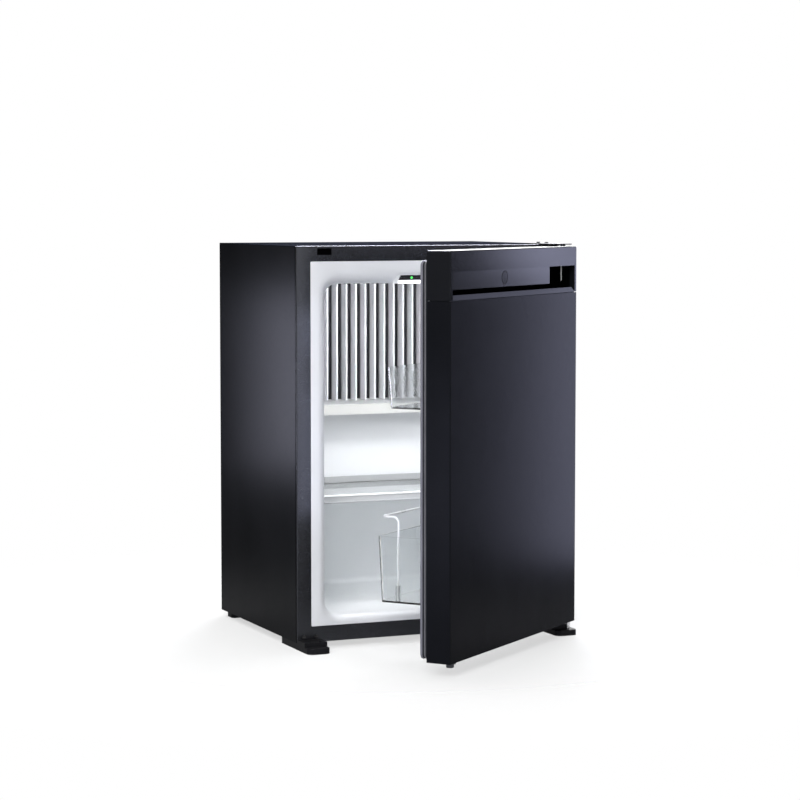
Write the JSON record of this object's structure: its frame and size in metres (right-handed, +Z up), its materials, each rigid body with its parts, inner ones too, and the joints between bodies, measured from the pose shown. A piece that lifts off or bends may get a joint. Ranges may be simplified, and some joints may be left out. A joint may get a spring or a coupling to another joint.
{
  "type": "minibar refrigerator",
  "caption": "Small free-standing hotel refrigerator with a solid door ajar, recessed handle, clear door bins, glass shelf and a finned cold plate, cooled by an absorption unit behind",
  "frame": {"origin": "on the floor, under the middle of the cabinet's width and depth", "axes": "X to the viewer's right as one faces the door, Y from the door towards the back, Z up"},
  "size_m": [0.4107, 0.6619, 0.5571],
  "materials": {
    "panel_paint": "charcoal paint with a fine grain",
    "door_paint": "charcoal satin paint",
    "frame_plastic": "black fine-grained moulding",
    "handle_plastic": "charcoal fine-grained moulding",
    "liner_plastic": "white vacuum-formed sheet",
    "foam": "pale closed-cell foam",
    "fin_metal": "satin pressed fins",
    "clear_plastic": "clear moulding",
    "shelf_glass": "clear plate",
    "trim_plastic": "pale grey extrusion",
    "gasket_rubber": "dark grey soft seal",
    "magnet_strip": "dark bonded magnet strip",
    "wire_paint": "white dip-coated wire",
    "control_gloss": "black gloss strip",
    "status_green": "green lamp",
    "diffuser_white": "opal diffuser",
    "hinge_steel": "plated steel",
    "screw_steel": "blackened steel",
    "bush_plastic": "black bearing plastic",
    "unit_paint": "black unit paint",
    "unit_fin": "black painted fins",
    "strap_zinc": "zinc-plated strap",
    "service_plastic": "black service moulding",
    "white_service": "white service moulding"
  },
  "bodies": {
    "cabinet": {"absorber_coil": "unit_paint", "absorber_vessel": "unit_paint", "base_panel": "panel_paint", "boiler_casing": "unit_paint", "cabinet_foam": "foam", "condensate_dish": "service_plastic", "condenser": "unit_fin", "control_strip": "control_gloss", "drain_tube": "white_service", "drip_channel": "white_service", "electronics_box": "service_plastic", "evaporator_fins": "fin_metal", "evaporator_plug": "foam", "feed_tube": "unit_paint", "foot_screws": "screw_steel", "frame_screws": "screw_steel", "front_foot_left": "frame_plastic", "front_foot_right": "frame_plastic", "front_frame": "frame_plastic", "hinge_screws": "hinge_steel", "inner_liner": "liner_plastic", "light_diffuser": "diffuser_white", "light_housing": "liner_plastic", "lower_hinge_pin": "hinge_steel", "mains_inlet": "service_plastic", "rear_foot_left": "frame_plastic", "rear_foot_right": "frame_plastic", "rear_panel": "panel_paint", "return_tube": "unit_paint", "riser_tube": "unit_paint", "side_panel_left": "panel_paint", "side_panel_right": "panel_paint", "status_light": "status_green", "temperature_sensor": "white_service", "top_panel": "panel_paint", "unit_strap_lower": "strap_zinc", "unit_strap_upper": "strap_zinc", "upper_hinge_pin": "hinge_steel", "upper_hinge_plate": "hinge_steel"},
    "door": {"door_skin": "door_paint", "handle_cap": "handle_plastic", "handle_plate": "handle_plastic", "lock_blank": "handle_plastic", "door_bottom_cap": "frame_plastic", "lower_hinge_bush": "bush_plastic", "upper_hinge_bush": "bush_plastic", "spare_bush": "bush_plastic", "door_foam": "foam", "door_lining": "liner_plastic", "door_gasket": "gasket_rubber", "gasket_magnets": "magnet_strip"},
    "shelf": {"shelf_plate": "shelf_glass", "shelf_front_trim": "trim_plastic", "shelf_rear_trim": "trim_plastic"},
    "upper_tray": {"upper_tray": "clear_plastic"},
    "lower_bin": {"lower_bin": "clear_plastic", "bottle_retainer": "wire_paint"}
  },
  "joints": [
    {"name": "door_hinge", "type": "hinge", "parent": "cabinet", "child": "door", "pos_m": [0.1815, -0.1828, 0], "axis": [0, 0, 1], "range_deg": [-38.7, 75]},
    {"name": "shelf_slide", "type": "slide", "parent": "cabinet", "child": "shelf", "axis": [0, -1, 0], "range_m": [0, 0.008]},
    {"name": "upper_tray_lift", "type": "slide", "parent": "door", "child": "upper_tray", "axis": [0, 0, 1], "range_m": [0, 0.018]},
    {"name": "lower_bin_lift", "type": "slide", "parent": "door", "child": "lower_bin", "axis": [0, 0, 1], "range_m": [0, 0.018]}
  ]
}
